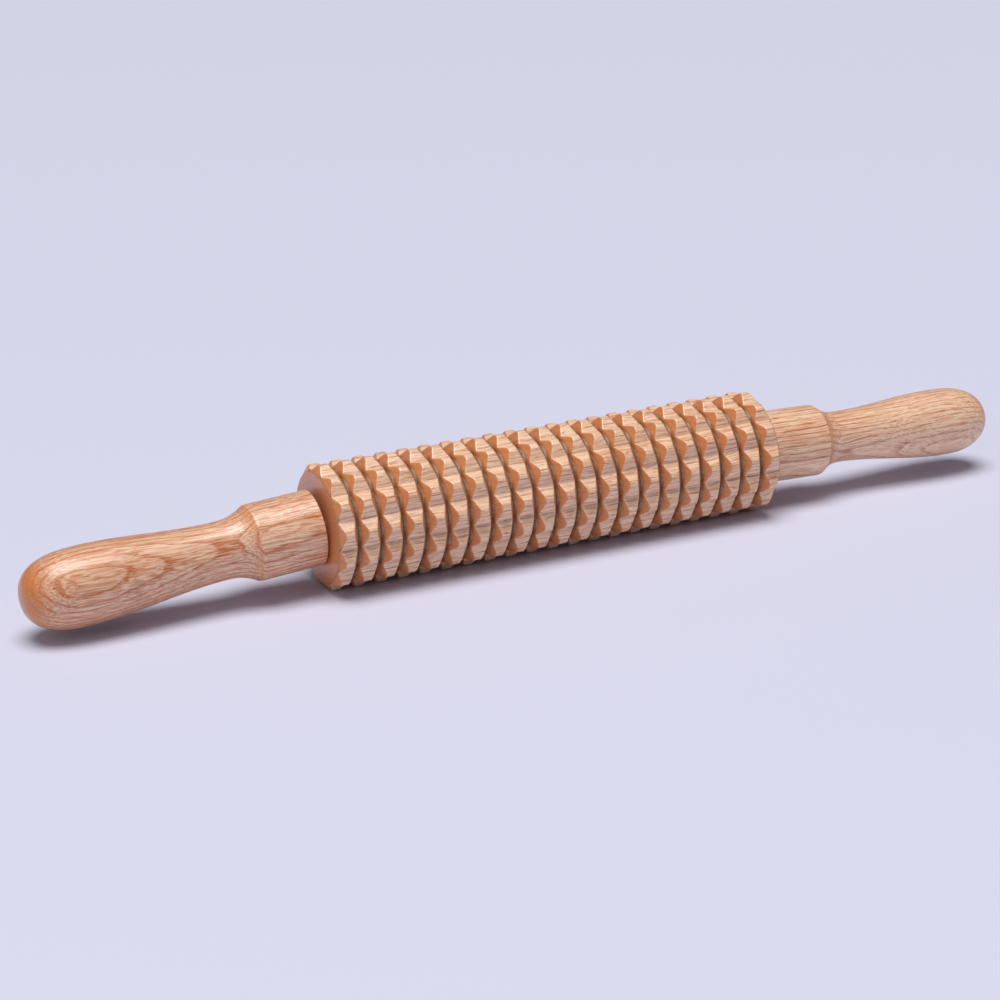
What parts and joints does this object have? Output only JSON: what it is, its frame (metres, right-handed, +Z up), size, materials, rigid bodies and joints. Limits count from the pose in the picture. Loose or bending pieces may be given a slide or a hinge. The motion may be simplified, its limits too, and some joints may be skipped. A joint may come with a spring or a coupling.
{
  "type": "wooden roller massager",
  "caption": "Body massage roller: a turned wooden barrel cut into rows of blunt teeth, with a freely turning wooden handle at each end.",
  "frame": {"origin": "middle of the whole length, on the axle's centreline", "axes": "+X along the axle towards the right handle, +Z up, barrel resting on two rows of teeth"},
  "size_m": [0.4522, 0.0526, 0.0523],
  "materials": {
    "barrel_wood": "satin varnish",
    "handle_wood": "satin varnish",
    "axle_steel": "bright drawn",
    "washer_nylon": "matt",
    "bush_acetal": "moulded",
    "washer_steel": "zinc plated",
    "ring_steel": "phosphated spring steel"
  },
  "bodies": {
    "barrel": {"toothed_barrel": "barrel_wood", "axle": "axle_steel", "left_thrust_washer": "washer_nylon", "right_thrust_washer": "washer_nylon", "left_stop_washer": "washer_steel", "right_stop_washer": "washer_steel", "left_retaining_ring": "ring_steel", "right_retaining_ring": "ring_steel"},
    "left_handle": {"left_handle": "handle_wood", "left_bush": "bush_acetal"},
    "right_handle": {"right_handle": "handle_wood", "right_bush": "bush_acetal"}
  },
  "joints": [
    {"name": "left_handle_spin", "type": "hinge", "parent": "barrel", "child": "left_handle", "pos_m": [-0.11035, 0, 0], "axis": [-0.9977, 0, -0.068], "continuous": true},
    {"name": "right_handle_spin", "type": "hinge", "parent": "barrel", "child": "right_handle", "pos_m": [0.11263, 0, 0], "axis": [0.9995, 0, -0.0332], "continuous": true}
  ]
}
